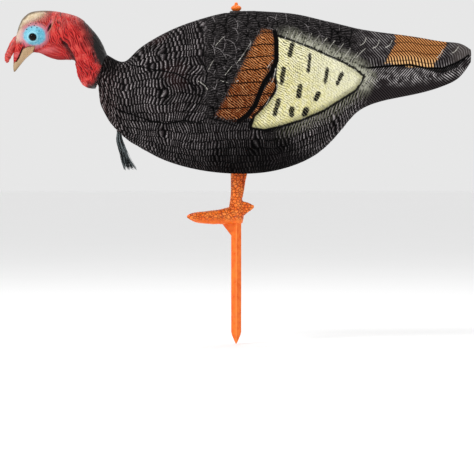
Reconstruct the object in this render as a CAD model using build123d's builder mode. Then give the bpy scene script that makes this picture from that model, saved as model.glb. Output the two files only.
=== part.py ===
from build123d import *

import os
from math import cos, radians, sin, sqrt

# Turkey decoy: a moulded foam shell in two halves that swivels on a staked leg.
#
# Millimetres. +Z is up, the bird faces -X and +Y is its right side. The origin is on the stake's axis at
# ground level, under the foot. The shell swivels on the post, the head turns in the shell's neck collar, the
# beard swings on a pin at the breast, and the knob and the post pull up and off for carrying.

# Shell
WALL = 4.0  # foam thickness
SLIT_HALF_LENGTH = 150.0  # open belly, along X
SLIT_HALF_GAP = 27.0  # open belly, each side of the centre plane
SLIT_TOP = 190.0

# Outline of the shell from collar to tail tip: X, top, bottom, half width
SHELL_STATIONS = [
    (-263.0, 325.0, 261.0, 31.0),
    (-255.5, 321.0, 236.0, 34.0),
    (-245.0, 315.5, 210.5, 37.0),
    (-230.5, 307.5, 185.5, 42.0),
    (-216.0, 300.0, 170.0, 47.0),
    (-203.0, 300.5, 158.5, 52.0),
    (-187.0, 315.0, 148.0, 58.0),
    (-158.0, 337.0, 131.0, 67.0),
    (-115.0, 359.5, 111.0, 77.0),
    (-65.0, 377.5, 95.0, 85.0),
    (0.0, 391.5, 86.5, 90.0),
    (58.0, 391.0, 91.5, 88.0),
    (115.0, 385.5, 111.0, 80.0),
    (158.0, 375.5, 137.5, 70.0),
    (190.0, 368.0, 170.0, 58.0),
    (216.0, 361.5, 201.0, 47.0),
    (245.0, 356.0, 219.5, 38.0),
    (290.0, 350.0, 232.0, 31.0),
    (345.0, 342.0, 243.5, 24.0),
    (390.0, 335.0, 258.5, 16.0),
    (418.0, 330.0, 278.5, 10.0),
    (432.0, 321.0, 299.0, 4.0),
]
VOID_START, VOID_END = -203.0, 345.0  # the foam is solid in front of and behind these stations

# Neck collar, where the head turns. Its axis runs forwards and up.
COLLAR_TILT = 19.4  # degrees above horizontal
COLLAR_AT = (-248.5, 0.0, 280.5)
COLLAR_BORE_R = 24.0
COLLAR_BORE_DEPTH = 60.0
RUNNING = 0.05  # radial clearance of a running fit
RING_LENGTH = 20.0
FACE_GAP = 0.5  # between the head's end and the collar
PLUG_R, PLUG_BORE_R = 20.0, 16.0
PLUG_IN_BODY, PLUG_IN_HEAD = 27.0, 18.0
GROOVE_R = 18.0
RETAINER_R, RETAINER_THICKNESS, RETAINER_DEPTH = 23.0, 2.0, 20.5
RETAINER_GAP = 12.0

# Head and neck from the collar to the beak's tip, as ribs across them: back point, front point, half width
HEAD_RIBS = [
    ((-238.0, 313.0), (-259.5, 250.0), 31.0),
    ((-245.5, 331.0), (-272.0, 251.0), 29.0),
    ((-257.0, 349.5), (-284.5, 259.5), 26.5),
    ((-271.0, 365.5), (-292.0, 277.0), 25.0),
    ((-288.0, 380.5), (-299.5, 299.5), 24.5),
    ((-314.0, 389.0), (-320.0, 303.0), 25.0),
    ((-342.0, 393.3), (-346.0, 308.5), 26.0),
    ((-366.0, 393.0), (-370.0, 316.5), 24.5),
    ((-384.0, 387.5), (-384.0, 308.0), 21.0),
    ((-397.0, 369.0), (-393.0, 298.0), 15.5),
    ((-404.5, 343.0), (-401.0, 288.5), 10.0),
    ((-409.0, 312.0), (-406.5, 282.0), 6.0),
    ((-410.5, 293.0), (-409.5, 281.0), 3.0),
]
HEAD_WALL = 6.0
HOLLOW_RIBS = slice(2, 7)  # the moulding is solid at the collar and at the beak
EYE_AT = (-373.0, 19.5, 344.5)  # Y is mirrored for the left eye
EYE_R = 7.2

# Snood, a fleshy flap from the forehead over the beak: X, Y, Z, radius
SNOOD_POINTS = [
    (-396.0, 0.0, 346.0, 6.5),
    (-405.0, -0.5, 338.0, 7.5),
    (-412.0, -1.5, 327.0, 7.5),
    (-417.5, -3.0, 316.0, 6.8),
    (-420.5, -4.0, 307.0, 5.8),
    (-421.5, -4.5, 299.5, 3.5),
]
SNOOD_PEG_R, SNOOD_PEG_LENGTH = 2.5, 12.0

# Beard, hung from a pin across a slot in the breast
BEARD_PIVOT = (-216.0, 186.0)  # X, Z
BEARD_PIN_R, BEARD_PIN_LENGTH = 1.5, 30.0
BEARD_SLOT = (-232.0, -200.0, 7.0)  # X from, X to, half width
FERRULE_R, FERRULE_EYE_LENGTH = 4.2, 8.0
FERRULE_BOTTOM = 171.0
BEARD_ROOT_R, BEARD_ROOT_TOP = 3.2, 177.0
# Z, X of the front edge, X of the back edge, half width
BEARD_STATIONS = [
    (171.0, -219.8, -212.2, 3.8),
    (156.0, -221.0, -209.5, 5.0),
    (138.0, -217.5, -202.0, 6.5),
    (118.0, -211.5, -193.5, 8.0),
    (101.0, -204.5, -183.5, 9.5),
]

# Leg, foot and ground spike, one moulding
SHANK_RINGS = [(2.0, 13.0), (28.0, 13.5), (53.0, 10.5), (70.0, 10.0), (94.0, 10.3), (118.0, 11.0)]  # Z, radius
SOCKET_CLEARANCE = 0.05
TENDON = [(5, 44), (12.5, 50), (15, 66), (17, 80), (21.5, 94), (21.5, 100), (14, 112), (5, 116)]  # X, Z
TENDON_WIDTH = 8.0
# Along the toe, bottom, top, half width
TOE_STATIONS = [
    (2.0, 0.0, 32.0, 9.0),
    (28.0, 0.0, 28.5, 8.5),
    (56.0, 0.0, 25.5, 7.5),
    (78.0, 2.5, 23.5, 6.0),
    (91.0, 11.0, 19.0, 2.5),
]
HALLUX_STATIONS = [(2.0, 10.0, 44.0, 7.0), (16.0, 17.0, 42.0, 6.0), (26.0, 25.0, 38.0, 4.0), (33.0, 31.0, 35.5, 1.5)]
TOE_FAN = 27.0  # degrees between neighbouring front toes
GUSSET = [(-27, 3), (-7, -22), (-3, 3)]
GUSSET_WIDTH = 6.0
SPIKE_HALF_WIDTH, SPIKE_HALF_THICKNESS = 10.3, 7.0
SPIKE_SHOULDER, SPIKE_TIP = -200.0, -220.0
SPIKE_TIP_SCALE = 0.12

# Post
POST_R, POST_FOOT = 6.0, 58.0
SHOULDER_R, SHOULDER_FROM, SHOULDER_TOP = 9.0, 381.0, 384.0
SPIGOT_R, KNOB_SEAT = 5.0, 393.0
TOP_PIN_R, TOP_PIN_END = 4.0, 401.0

# Grommet in the back
GROMMET_R, GROMMET_BARREL_R = 12.0, 7.0
GROMMET_SEAT, GROMMET_TOP = 390.2, 392.7
WASHER_TOP, WASHER_BOTTOM = 386.0, 384.3

# Knob
KNOB_R, KNOB_TOP = 9.7, 404.0
NUB_R, NUB_TOP = 3.2, 409.0

os.makedirs("parts", exist_ok=True)


def save(part, name):
    """Labels a finished piece and writes its STEP file."""
    part.label = name
    export_step(part, f"parts/{name}.step")


def loft_half(stations, side, inset=0.0, mode=Mode.ADD):
    """Lofts half ellipses through stations along X, on the side of the centre plane given by +1 or -1."""
    sections = []
    for x, top, bottom, half_width in stations:
        across, up = half_width - inset, (top - bottom) / 2 - inset
        middle = Plane(origin=(x, 0, (top + bottom) / 2), x_dir=(0, 1, 0), z_dir=(1, 0, 0))
        with BuildSketch(middle) as section:
            with BuildLine():
                EllipticalCenterArc((0, 0), across, up, start_angle=-90 * side, arc_size=180)
                Line((0, -up), (0, up))
            make_face()
        sections.append(section.sketch)
    loft(sections, mode=mode)


def loft_ribs(ribs, inset=0.0, mode=Mode.ADD):
    """Lofts ellipses across the head and neck, each smaller by inset all round."""
    sections = []
    for (back_x, back_z), (front_x, front_z), half_width in ribs:
        half_depth = sqrt((back_x - front_x) ** 2 + (back_z - front_z) ** 2) / 2
        along = (front_z - back_z, 0, back_x - front_x)
        middle = ((back_x + front_x) / 2, 0, (back_z + front_z) / 2)
        with BuildSketch(Plane(origin=middle, x_dir=(0, 1, 0), z_dir=along)) as section:
            Ellipse(half_width - inset, half_depth - inset)
        sections.append(section.sketch)
    loft(sections, mode=mode)


def loft_toe(stations, heading):
    """Lofts one toe outwards from the stake's axis, turned to a heading about +Z."""
    outwards = Vector(1, 0, 0).rotate(Axis.Z, heading)
    sections = []
    for reach, bottom, top, half_width in stations:
        middle = outwards * reach + Vector(0, 0, (top + bottom) / 2)
        across = outwards.cross(Vector(0, 0, 1))
        with BuildSketch(Plane(origin=middle, x_dir=across, z_dir=outwards)) as section:
            Ellipse(half_width, (top - bottom) / 2)
        sections.append(section.sketch)
    loft(sections)


COLLAR_OUT = (-cos(radians(COLLAR_TILT)), 0, sin(radians(COLLAR_TILT)))
COLLAR = Plane(origin=COLLAR_AT, x_dir=(0, 1, 0), z_dir=COLLAR_OUT)

# --- Shell halves ---
hollow = [station for station in SHELL_STATIONS if VOID_START <= station[0] <= VOID_END]
slot_front, slot_back, slot_half = BEARD_SLOT

for name, side in (("shell_left", -1), ("shell_right", 1)):
    with BuildPart() as shell:
        loft_half(SHELL_STATIONS, side)
        loft_half(hollow, side, WALL, Mode.SUBTRACT)
        split(bisect_by=COLLAR, keep=Keep.BOTTOM)
        with BuildSketch(COLLAR):
            Circle(COLLAR_BORE_R)
        extrude(amount=-COLLAR_BORE_DEPTH, mode=Mode.SUBTRACT)
        # Open belly, pointed at both ends
        with BuildSketch(Plane.XY):
            with BuildLine():
                ThreePointArc((-SLIT_HALF_LENGTH, 0), (0, SLIT_HALF_GAP), (SLIT_HALF_LENGTH, 0))
                ThreePointArc((SLIT_HALF_LENGTH, 0), (0, -SLIT_HALF_GAP), (-SLIT_HALF_LENGTH, 0))
            make_face()
        extrude(amount=SLIT_TOP, mode=Mode.SUBTRACT)
        # Slot for the beard and the hole for its pin
        with BuildSketch(Plane.XY):
            with Locations(((slot_front + slot_back) / 2, 0)):
                RectangleRounded(slot_back - slot_front, 2 * slot_half, slot_half - 1)
        extrude(amount=BEARD_PIVOT[1] + 8, mode=Mode.SUBTRACT)
        with Locations((BEARD_PIVOT[0], 0, BEARD_PIVOT[1])):
            Cylinder(BEARD_PIN_R, BEARD_PIN_LENGTH, rotation=(90, 0, 0), mode=Mode.SUBTRACT)
        # Seats for the grommet and its washer, and the hole between them
        for level, radius, depth in (
            (GROMMET_SEAT, GROMMET_R, 10),
            (WASHER_TOP, GROMMET_R, -10),
            (WASHER_TOP, GROMMET_BARREL_R, 10),
        ):
            with BuildSketch(Plane.XY.offset(level)):
                Circle(radius)
            extrude(amount=depth, mode=Mode.SUBTRACT)
    save(shell.part, name)

# --- Grommet in the back ---
with BuildPart() as back_grommet:
    with BuildSketch(Plane.XY.offset(WASHER_BOTTOM)):
        Circle(GROMMET_BARREL_R)
    extrude(amount=GROMMET_TOP - WASHER_BOTTOM)
    with BuildSketch(Plane.XY.offset(GROMMET_SEAT)):
        Circle(GROMMET_R)
    extrude(amount=GROMMET_TOP - GROMMET_SEAT)
    fillet(back_grommet.edges().filter_by(GeomType.CIRCLE).group_by(Axis.Z)[-1], 1.2)
    with BuildSketch(Plane.XY.offset(WASHER_BOTTOM)):
        Circle(SPIGOT_R + RUNNING)
    extrude(amount=GROMMET_TOP - WASHER_BOTTOM, mode=Mode.SUBTRACT)
save(back_grommet.part, "back_grommet")

with BuildPart() as grommet_washer:
    with BuildSketch(Plane.XY.offset(WASHER_BOTTOM)):
        Circle(GROMMET_R)
        Circle(GROMMET_BARREL_R, mode=Mode.SUBTRACT)
    extrude(amount=WASHER_TOP - WASHER_BOTTOM)
save(grommet_washer.part, "grommet_washer")

# --- Collar ring in the shell, plug in the neck, and the clip that keeps the plug in the ring ---
with BuildPart() as collar_ring:
    with BuildSketch(COLLAR):
        Circle(COLLAR_BORE_R)
        Circle(PLUG_R + RUNNING, mode=Mode.SUBTRACT)
    extrude(amount=-RING_LENGTH)
save(collar_ring.part, "collar_ring")

with BuildPart() as neck_plug:
    with BuildSketch(COLLAR.offset(PLUG_IN_HEAD)):
        Circle(PLUG_R)
        Circle(PLUG_BORE_R, mode=Mode.SUBTRACT)
    extrude(amount=-(PLUG_IN_HEAD + PLUG_IN_BODY))
    with BuildSketch(COLLAR.offset(-RETAINER_DEPTH)):
        Circle(PLUG_R + 1)
        Circle(GROOVE_R, mode=Mode.SUBTRACT)
    extrude(amount=-RETAINER_THICKNESS, mode=Mode.SUBTRACT)
save(neck_plug.part, "neck_plug")

with BuildPart() as plug_retainer:
    with BuildSketch(COLLAR.offset(-RETAINER_DEPTH)):
        Circle(RETAINER_R)
        Circle(GROOVE_R, mode=Mode.SUBTRACT)
        with Locations((0, -RETAINER_R)):
            Rectangle(RETAINER_GAP, RETAINER_R, mode=Mode.SUBTRACT)
    extrude(amount=-RETAINER_THICKNESS)
save(plug_retainer.part, "plug_retainer")

# --- Snood ---
with BuildPart() as snood:
    for index, (x, y, z, radius) in enumerate(SNOOD_POINTS):
        before = Vector(*SNOOD_POINTS[max(index - 1, 0)][:3])
        after = Vector(*SNOOD_POINTS[min(index + 1, len(SNOOD_POINTS) - 1)][:3])
        with BuildSketch(Plane(origin=(x, y, z), x_dir=(0, 1, 0), z_dir=after - before)):
            Circle(radius)
    loft()
    peg_start = Vector(*SNOOD_POINTS[0][:3])
    with BuildSketch(Plane(origin=peg_start, x_dir=(0, 1, 0), z_dir=(1, 0, 0))):
        Circle(SNOOD_PEG_R)
    extrude(amount=SNOOD_PEG_LENGTH)
save(snood.part, "snood")

# --- Head and neck, one hollow moulding ---
with BuildPart() as head_and_neck:
    loft_ribs(HEAD_RIBS)
    loft_ribs(HEAD_RIBS[HOLLOW_RIBS], HEAD_WALL, Mode.SUBTRACT)
    split(bisect_by=COLLAR.offset(FACE_GAP), keep=Keep.TOP)
    with BuildSketch(COLLAR):
        Circle(PLUG_R)
    extrude(amount=PLUG_IN_HEAD, mode=Mode.SUBTRACT)
    with Locations(EYE_AT, (EYE_AT[0], -EYE_AT[1], EYE_AT[2])):
        Sphere(EYE_R, mode=Mode.SUBTRACT)
    add(snood.part, mode=Mode.SUBTRACT)
save(head_and_neck.part, "head_and_neck")

for name, side in (("eye_left", -1), ("eye_right", 1)):
    with BuildPart() as eye:
        with Locations((EYE_AT[0], side * EYE_AT[1], EYE_AT[2])):
            Sphere(EYE_R)
    save(eye.part, name)

# --- Beard, its ferrule and its pin ---
pivot_x, pivot_z = BEARD_PIVOT

with BuildPart() as beard_pin:
    with Locations((pivot_x, 0, pivot_z)):
        Cylinder(BEARD_PIN_R, BEARD_PIN_LENGTH, rotation=(90, 0, 0))
save(beard_pin.part, "beard_pin")

with BuildPart() as beard_ferrule:
    with Locations((pivot_x, 0, pivot_z)):
        Cylinder(FERRULE_R, FERRULE_EYE_LENGTH, rotation=(90, 0, 0))
    with BuildSketch(Plane.XY.offset(FERRULE_BOTTOM)):
        with Locations((pivot_x, 0)):
            Circle(FERRULE_R)
    extrude(amount=pivot_z - FERRULE_BOTTOM)
    with BuildSketch(Plane.XY.offset(FERRULE_BOTTOM)):
        with Locations((pivot_x, 0)):
            Circle(BEARD_ROOT_R)
    extrude(amount=BEARD_ROOT_TOP - FERRULE_BOTTOM, mode=Mode.SUBTRACT)
    with Locations((pivot_x, 0, pivot_z)):
        Cylinder(BEARD_PIN_R + RUNNING, BEARD_PIN_LENGTH, rotation=(90, 0, 0), mode=Mode.SUBTRACT)
save(beard_ferrule.part, "beard_ferrule")

with BuildPart() as beard:
    for z, front_x, back_x, half_width in BEARD_STATIONS:
        with BuildSketch(Plane.XY.offset(z)):
            with Locations(((front_x + back_x) / 2, 0)):
                Ellipse((back_x - front_x) / 2, half_width)
    loft()
    with BuildSketch(Plane.XY.offset(FERRULE_BOTTOM)):
        with Locations((pivot_x, 0)):
            Circle(BEARD_ROOT_R)
    extrude(amount=BEARD_ROOT_TOP - FERRULE_BOTTOM)
save(beard.part, "beard")

# --- Leg, foot and ground spike ---
with BuildPart() as leg_stake:
    for z, radius in SHANK_RINGS:
        with BuildSketch(Plane.XY.offset(z)):
            Circle(radius)
    loft()
    with BuildSketch(Plane.XZ):
        with BuildLine():
            Polyline(*TENDON, close=True)
        make_face()
    extrude(amount=TENDON_WIDTH / 2, both=True)
    for heading in (180 - TOE_FAN, 180, 180 + TOE_FAN):
        loft_toe(TOE_STATIONS, heading)
    loft_toe(HALLUX_STATIONS, 0)
    with BuildSketch(Plane.XZ):
        with BuildLine():
            Polyline(*GUSSET, close=True)
        make_face()
    extrude(amount=GUSSET_WIDTH / 2, both=True)
    for z, scale in ((3.0, 1.0), (SPIKE_SHOULDER, 1.0), (SPIKE_TIP, SPIKE_TIP_SCALE)):
        half_x, half_y = SPIKE_HALF_WIDTH * scale, SPIKE_HALF_THICKNESS * scale
        with BuildSketch(Plane.XY.offset(z)):
            with BuildLine():
                Polyline((half_x, 0), (0, half_y), (-half_x, 0), (0, -half_y), close=True)
            make_face()
    loft(ruled=True)
    with BuildSketch(Plane.XY.offset(POST_FOOT)):
        Circle(POST_R + SOCKET_CLEARANCE)
    extrude(amount=SHANK_RINGS[-1][0] - POST_FOOT, mode=Mode.SUBTRACT)
save(leg_stake.part, "leg_stake")

# --- Post and knob ---
with BuildPart() as post:
    for bottom, top, radius in (
        (POST_FOOT, SHOULDER_FROM, POST_R),
        (SHOULDER_FROM, SHOULDER_TOP, SHOULDER_R),
        (SHOULDER_TOP, KNOB_SEAT, SPIGOT_R),
        (KNOB_SEAT, TOP_PIN_END, TOP_PIN_R),
    ):
        with BuildSketch(Plane.XY.offset(bottom)):
            Circle(radius)
        extrude(amount=top - bottom)
save(post.part, "post")

with BuildPart() as top_knob:
    with BuildSketch(Plane.XZ):
        with BuildLine():
            Line((0, KNOB_SEAT), (KNOB_R - 4, KNOB_SEAT))
            Spline(
                (KNOB_R - 4, KNOB_SEAT),
                (KNOB_R, (KNOB_SEAT + KNOB_TOP) / 2 - 0.5),
                (NUB_R, KNOB_TOP),
            )
            Line((NUB_R, KNOB_TOP), (NUB_R, NUB_TOP - NUB_R))
            RadiusArc((NUB_R, NUB_TOP - NUB_R), (0, NUB_TOP), -NUB_R)
            Line((0, NUB_TOP), (0, KNOB_SEAT))
        make_face()
    revolve(axis=Axis.Z)
    with BuildSketch(Plane.XY.offset(KNOB_SEAT)):
        Circle(TOP_PIN_R + RUNNING)
    extrude(amount=TOP_PIN_END - KNOB_SEAT, mode=Mode.SUBTRACT)
save(top_knob.part, "top_knob")
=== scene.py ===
"""The turkey decoy's looks: skins over the CAD frame, with procedural materials, floor, light and camera.

Shapes are worked out in the bird's own millimetres (X towards the tail, Z up) and built in metres.
"""

import math

import bmesh
import bpy
import numpy as np
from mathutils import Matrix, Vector


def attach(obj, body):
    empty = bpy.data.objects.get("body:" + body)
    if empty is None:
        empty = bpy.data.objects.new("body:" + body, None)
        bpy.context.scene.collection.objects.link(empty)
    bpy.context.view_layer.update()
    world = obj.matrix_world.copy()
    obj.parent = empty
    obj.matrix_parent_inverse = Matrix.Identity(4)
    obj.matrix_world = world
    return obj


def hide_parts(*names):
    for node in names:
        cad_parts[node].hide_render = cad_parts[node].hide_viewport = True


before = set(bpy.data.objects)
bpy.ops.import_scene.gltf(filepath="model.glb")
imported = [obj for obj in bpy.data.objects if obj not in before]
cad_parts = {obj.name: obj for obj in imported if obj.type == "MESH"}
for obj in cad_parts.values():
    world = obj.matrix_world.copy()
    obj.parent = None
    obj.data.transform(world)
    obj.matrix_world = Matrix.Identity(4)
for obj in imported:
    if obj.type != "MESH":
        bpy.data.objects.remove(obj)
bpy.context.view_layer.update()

MM = 0.001
RNG = np.random.default_rng(7)


# ---- numbers on arrays

def smooth(x, low, high):
    """0 below low, 1 above high, and a smooth ramp between. low may be the larger."""
    t = np.clip((np.asarray(x, float) - low) / (high - low), 0, 1)
    return t * t * (3 - 2 * t)


def spline(xs, ys):
    """A natural cubic spline through the points, as a function of arrays."""
    xs, ys = np.asarray(xs, float), np.asarray(ys, float)
    n, h = len(xs), np.diff(xs)
    system, right = np.eye(n), np.zeros(n)
    for i in range(1, n - 1):
        system[i, i - 1:i + 2] = h[i - 1], 2 * (h[i - 1] + h[i]), h[i]
        right[i] = 6 * ((ys[i + 1] - ys[i]) / h[i] - (ys[i] - ys[i - 1]) / h[i - 1])
    curve = np.linalg.solve(system, right)

    def at(x):
        x = np.asarray(x, float)
        i = np.clip(np.searchsorted(xs, x) - 1, 0, n - 2)
        a, b = (xs[i + 1] - x) / h[i], (x - xs[i]) / h[i]
        bend = ((a ** 3 - a) * curve[i] + (b ** 3 - b) * curve[i + 1]) * h[i] ** 2 / 6
        return a * ys[i] + b * ys[i + 1] + bend

    return at


def hashed(i, j, seed):
    """A repeatable random number from 0 to 1 for each pair of whole numbers."""
    n = (i.astype(np.int64) * 374761393 + j.astype(np.int64) * 668265263 + seed * 1442695041) & 0x7FFFFFFF
    n = ((n ^ (n >> 13)) * 1274126177) & 0x7FFFFFFF
    return ((n ^ (n >> 16)) & 0xFFFF) / 65535.0


def value_noise(x, y, size, seed):
    """Smooth noise from -1 to 1 whose blotches are about size across."""
    u, v = np.asarray(x, float) / size, np.asarray(y, float) / size
    i, j = np.floor(u), np.floor(v)
    fu, fv = smooth(u - i, 0, 1), smooth(v - j, 0, 1)
    low = hashed(i, j, seed) * (1 - fu) + hashed(i + 1, j, seed) * fu
    high = hashed(i, j + 1, seed) * (1 - fu) + hashed(i + 1, j + 1, seed) * fu
    return 2 * (low * (1 - fv) + high * fv) - 1


def to_line(x, z, points):
    """Distance from each (x, z) to a polyline."""
    best = np.full(np.shape(x), 1e9)
    for (ax, az), (bx, bz) in zip(points[:-1], points[1:]):
        dx, dz = bx - ax, bz - az
        t = np.clip(((x - ax) * dx + (z - az) * dz) / (dx * dx + dz * dz), 0, 1)
        best = np.minimum(best, np.hypot(x - ax - t * dx, z - az - t * dz))
    return best


def to_outline(x, z, points):
    """Distance from each (x, z) to a closed outline, negative inside it."""
    closed = points + points[:1]
    inside = np.zeros(np.shape(x), bool)
    for (ax, az), (bx, bz) in zip(closed[:-1], closed[1:]):
        crosses = (az > z) != (bz > z)
        inside ^= crosses & (x < (bx - ax) * (z - az) / (bz - az + 1e-9) + ax)
    return np.where(inside, -1, 1) * to_line(x, z, closed)


def scales(x, z, pitch_x, pitch_z, radius, seed):
    """Overlapping rounded feathers that point to the tail: the distance in from the edge, and the angle."""
    row = np.floor(x / pitch_x)
    best_edge, best_angle = np.full(np.shape(x), -1.0), np.zeros(np.shape(x))
    for back in (-2, -1, 0, 1):
        r = row + back
        offset = np.where(r % 2 == 0, 0.0, 0.5)
        for side in (-1, 0, 1):
            c = np.floor(z / pitch_z - offset + 0.5) + side
            jitter = hashed(r, c, seed) - 0.5
            cx, cz = (r + 0.25 * jitter) * pitch_x, (c + offset + 0.18 * jitter) * pitch_z
            edge = radius - np.hypot(x - cx, z - cz)
            take = (edge > 0) & (best_edge < 0)
            best_edge = np.where(take, edge, best_edge)
            best_angle = np.where(take, np.arctan2(z - cz, x - cx + radius), best_angle)
    return np.maximum(best_edge, 0), best_angle


# ---- meshes

def make_mesh(name, points_mm, faces):
    mesh = bpy.data.meshes.new(name)
    mesh.from_pydata((np.asarray(points_mm, float) * MM).tolist(), [], faces)
    mesh.validate()
    return mesh


def add_object(name, data):
    obj = bpy.data.objects.new(name, data)
    bpy.context.scene.collection.objects.link(obj)
    return obj


def add_piece(name, mesh, materials, body, node, slot, **fields):
    """A smooth piece on a body in place of a CAD node. Its materials read the fields, a number a point."""
    mesh.shade_smooth()
    mesh.materials.clear()
    for material in materials:
        mesh.materials.append(material)
    for field, values in fields.items():
        attribute = mesh.attributes.new(field, "FLOAT", "POINT")
        attribute.data.foreach_set("value", np.asarray(values, np.float32).ravel())
    obj = add_object(name, mesh)
    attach(obj, body)
    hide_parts(node)


def grid_faces(rows, columns, closed=False, start=0, flip=False):
    """Quads over a grid of points stored row by row. closed joins the last column to the first."""
    faces = []
    for i in range(rows - 1):
        for j in range(columns if closed else columns - 1):
            a, b = (start + i * columns + k for k in (j, (j + 1) % columns))
            quad = (a, b, b + columns, a + columns)
            faces.append(quad[:1] + quad[:0:-1] if flip else quad)
    return faces


def grid_normals(grid):
    """Unit normals of a grid of points, rows by columns by 3."""
    normal = np.cross(np.gradient(grid, axis=0), np.gradient(grid, axis=1))
    return normal / np.maximum(np.linalg.norm(normal, axis=2, keepdims=True), 1e-9)


def round_angles(count):
    """Evenly spaced angles once round a circle."""
    return np.linspace(0, 2 * np.pi, count, endpoint=False)


def tube(points, radii, sides):
    """A grid of rings round a path, with its outward directions."""
    points = np.asarray(points, float)
    ahead = np.gradient(points, axis=0)
    ahead /= np.linalg.norm(ahead, axis=1, keepdims=True)
    side = np.cross(ahead, np.array([0.0, 1.0, 0.0]))
    side /= np.maximum(np.linalg.norm(side, axis=1, keepdims=True), 1e-6)
    other = np.cross(ahead, side)
    turn = round_angles(sides)
    out = np.cos(turn)[None, :, None] * side[:, None, :] + np.sin(turn)[None, :, None] * other[:, None, :]
    return points[:, None, :] + out * np.asarray(radii, float)[:, None, None], out


def capped(rings, flip=False):
    """The points and faces of a solid from rings of points."""
    rows, columns = len(rings), len(rings[0])
    faces = grid_faces(rows, columns, closed=True, flip=flip)
    ends = [range(columns)[::-1], range((rows - 1) * columns, rows * columns)]
    faces += [tuple(end[::-1] if flip else end) for end in ends]
    return np.concatenate(rings), faces


def merged(solids):
    """The points and faces of several solids together."""
    points, faces, start = [], [], 0
    for its_points, its_faces in solids:
        points.append(its_points)
        faces += [tuple(start + k for k in face) for face in its_faces]
        start += len(its_points)
    return np.concatenate(points), faces


# ---- materials

def operator(operation, swapped=False):
    """A method that puts a Value through a Math node."""

    def apply(self, *others):
        values = (self, *others)
        return self.graph.math(operation, *(values[::-1] if swapped else values))

    return apply


class Value:
    """A number in a material. What is done to it adds Math nodes."""

    def __init__(self, graph, socket):
        self.graph, self.socket = graph, socket

    __add__, __mul__ = operator("ADD"), operator("MULTIPLY")
    __sub__, __rsub__ = operator("SUBTRACT"), operator("SUBTRACT", swapped=True)
    __truediv__, __abs__ = operator("DIVIDE"), operator("ABSOLUTE")
    floor, fract, larger = operator("FLOOR"), operator("FRACT"), operator("MAXIMUM")


class Graph:
    """A material's node tree, written as expressions in millimetres of the object's own frame."""

    def __init__(self, name, roughness=0.5, specular=0.5):
        self.material = bpy.data.materials.new(name)
        self.material.use_nodes = True
        self.tree = self.material.node_tree
        self.shader = self.tree.nodes["Principled BSDF"]
        self.shader.inputs["Roughness"].default_value = roughness
        self.shader.inputs["Specular IOR Level"].default_value = specular
        self.position = self.node("ShaderNodeTexCoord").outputs["Object"]
        parts = self.node("ShaderNodeSeparateXYZ", {0: self.position})
        self.x, self.y, self.z = (Value(self, parts.outputs[i]) / MM for i in range(3))

    def put(self, value, socket):
        """Links a Value or a socket to an input, or sets the input to a constant."""
        if isinstance(value, (Value, bpy.types.NodeSocket)):
            self.tree.links.new(getattr(value, "socket", value), socket)
        elif socket.type == "RGBA":
            socket.default_value = (*value, 1)
        else:
            socket.default_value = value

    def node(self, kind, inputs=None, **settings):
        made = self.tree.nodes.new(kind)
        for key, value in settings.items():
            setattr(made, key, value)
        for key, value in (inputs or {}).items():
            self.put(value, made.inputs[key])
        return made

    def math(self, operation, *values):
        made = self.node("ShaderNodeMath", dict(enumerate(values)), operation=operation)
        return Value(self, made.outputs[0])

    def wave(self, value):
        """A ridge from 0 to 1 once in each unit of value."""
        return self.math("SINE", value * math.tau) * 0.5 + 0.5

    def field(self, name):
        return Value(self, self.node("ShaderNodeAttribute", attribute_name=name).outputs["Fac"])

    def ramp(self, value, low, high, to_low=0.0, to_high=1.0):
        """value from low to high becomes to_low to to_high, smoothly."""
        inputs = {0: value, 1: low, 2: high, 3: to_low, 4: to_high}
        made = self.node("ShaderNodeMapRange", inputs, interpolation_type="SMOOTHSTEP")
        return Value(self, made.outputs[0])

    def texture(self, kind, inputs, output=0, stretch=None, **settings):
        """A texture's value at the position, which stretch may scale along each axis."""
        vector = self.position
        if stretch:
            vector = self.node("ShaderNodeMapping", {0: vector, 3: stretch}).outputs[0]
        made = self.node(kind, {"Vector": vector, **inputs}, **settings)
        return Value(self, made.outputs[output])

    def noise(self, scale, detail=3.0, roughness=0.55, **extra):
        """Smooth noise about 0.5, scale in blotches per metre."""
        inputs = {"Scale": scale, "Detail": detail, "Roughness": roughness}
        return self.texture("ShaderNodeTexNoise", inputs, **extra)

    def cells(self, scale, **extra):
        """Distance in a cell pattern, scale in cells per metre."""
        return self.texture("ShaderNodeTexVoronoi", {"Scale": scale}, "Distance", **extra)

    def random(self, first, second):
        """A repeatable random number for each pair of whole numbers."""
        pair = self.node("ShaderNodeCombineXYZ", {0: first, 1: second})
        made = self.node("ShaderNodeTexWhiteNoise", {"Vector": pair.outputs[0]}, noise_dimensions="2D")
        return Value(self, made.outputs["Value"])

    def mix(self, factor, first, second):
        """A colour from first to second by factor."""
        return self.node("ShaderNodeMix", {0: factor, 6: first, 7: second}, data_type="RGBA").outputs[2]

    def layers(self, color, *layers):
        """A colour with others laid over it in turn, each given as its mask and its colour."""
        for mask, other in layers:
            color = self.mix(mask, color, other)
        return color

    def finish(self, color, height=None, depth_mm=1.0, roughness=None):
        """Wires the colour, the bump of height times depth, and the roughness into the shader."""
        self.put(color, self.shader.inputs["Base Color"])
        if height is not None:
            bump = self.node("ShaderNodeBump", {"Height": height, "Strength": 1.0, "Distance": depth_mm * MM})
            self.put(bump.outputs[0], self.shader.inputs["Normal"])
        if roughness is not None:
            self.put(roughness, self.shader.inputs["Roughness"])
        return self.material


def plain_material(name, color, roughness, grain=900.0, depth_mm=0.08, metallic=0.0):
    """Moulded or machined stock: a slightly uneven colour, gloss and surface."""
    g = Graph(name, roughness)
    g.shader.inputs["Metallic"].default_value = metallic
    mottle, fine = g.noise(60.0), g.noise(grain, 4.0, 0.6)
    tone = g.mix(mottle, tuple(0.75 * part for part in color), color)
    rough = g.ramp((fine + mottle) * 0.5, 0.3, 0.7, max(roughness - 0.08, 0.03), roughness + 0.1)
    return g.finish(tone, fine, depth_mm, rough)


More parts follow.
